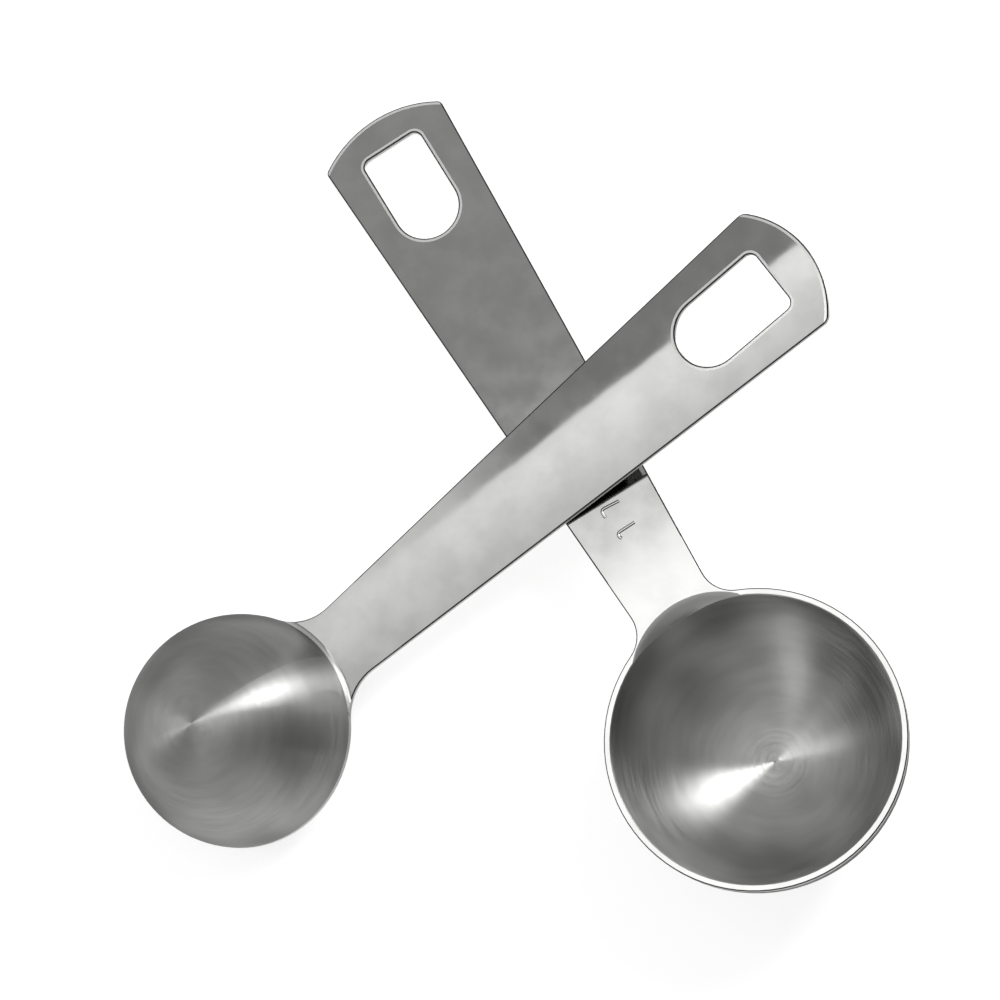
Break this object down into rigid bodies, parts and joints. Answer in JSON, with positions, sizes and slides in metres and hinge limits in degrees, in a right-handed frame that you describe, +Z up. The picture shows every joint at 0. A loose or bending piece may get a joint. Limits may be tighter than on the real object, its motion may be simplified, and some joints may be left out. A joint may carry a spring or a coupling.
{
  "type": "measuring spoon",
  "caption": "Crossed stainless measuring spoons with hemispherical bowls, flat tapered handles and D-shaped hang holes; the larger lies on its back, the smaller upside down across it.",
  "frame": {"origin": "on the table, under the middle of the bounding box of the pair as it lies", "axes": "+Z up from the table; +X towards the large bowl's side and +Y towards the handle ends, as seen from above in the picture"},
  "size_m": [0.1052, 0.1064, 0.0245],
  "materials": {
    "stainless_steel": "brushed"
  },
  "bodies": {
    "large_spoon": {"large_spoon": "stainless_steel"},
    "small_spoon": {"small_spoon": "stainless_steel"}
  },
  "joints": [
    {"name": "small_spoon_lift", "type": "slide", "parent": "large_spoon", "child": "small_spoon", "axis": [0, 0, 1], "range_m": [0, 0.06]}
  ]
}
